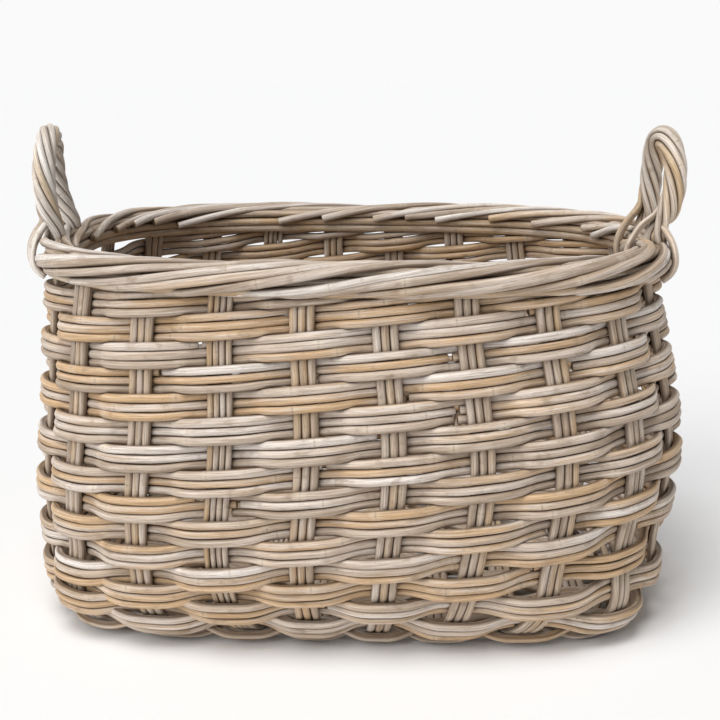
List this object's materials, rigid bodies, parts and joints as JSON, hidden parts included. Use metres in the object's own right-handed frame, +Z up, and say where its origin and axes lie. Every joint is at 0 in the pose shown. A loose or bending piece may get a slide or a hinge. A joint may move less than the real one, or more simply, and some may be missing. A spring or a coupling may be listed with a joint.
{
  "type": "rattan basket",
  "caption": "Large open oblong rattan basket, plain woven of rod bundles round upright stakes, with a flat woven base, a thick rolled border and upright roped handles at the ends.",
  "frame": {"origin": "on the floor, under the middle of the basket", "axes": "+X along the basket towards its right end, -Y to the front, +Z up"},
  "size_m": [0.629, 0.4912, 0.4582],
  "materials": {
    "weavers": "satin, washed grey-beige rattan with tan patches",
    "stakes": "satin, washed grey-beige rattan",
    "base_weavers": "satin, washed grey-beige rattan",
    "border": "satin, washed grey-beige rattan, paler on top",
    "handles": "satin, grey-beige rattan with tan rods among it",
    "lashings": "satin, grey-beige rattan"
  },
  "bodies": {
    "root": {"wall_weaver_01": "weavers", "wall_weaver_02": "weavers", "wall_weaver_03": "weavers", "wall_weaver_04": "weavers", "wall_weaver_05": "weavers", "wall_weaver_06": "weavers", "wall_weaver_07": "weavers", "wall_weaver_08": "weavers", "wall_weaver_09": "weavers", "wall_weaver_10": "weavers", "wall_weaver_11": "weavers", "wall_weaver_12": "weavers", "wall_weaver_13": "weavers", "wall_weaver_14": "weavers", "wall_weaver_15": "weavers", "foot_rod_1": "weavers", "foot_rod_2": "weavers", "cross_stake_1": "stakes", "cross_stake_2": "stakes", "cross_stake_3": "stakes", "cross_stake_4": "stakes", "cross_stake_5": "stakes", "cross_stake_6": "stakes", "cross_stake_7": "stakes", "cross_stake_8": "stakes", "length_stake_1": "stakes", "length_stake_2": "stakes", "length_stake_3": "stakes", "length_stake_4": "stakes", "base_weaver_1": "base_weavers", "base_weaver_2": "base_weavers", "base_weaver_3": "base_weavers", "base_weaver_4": "base_weavers", "base_weaver_5": "base_weavers", "border_outer_roll": "border", "border_inner_roll": "border", "border_top_roll": "border", "left_handle_bow": "handles", "right_handle_bow": "handles", "left_handle_roping": "handles", "right_handle_roping": "handles", "left_handle_front_lashing": "lashings", "left_handle_back_lashing": "lashings", "right_handle_front_lashing": "lashings", "right_handle_back_lashing": "lashings"}
  },
  "joints": []
}
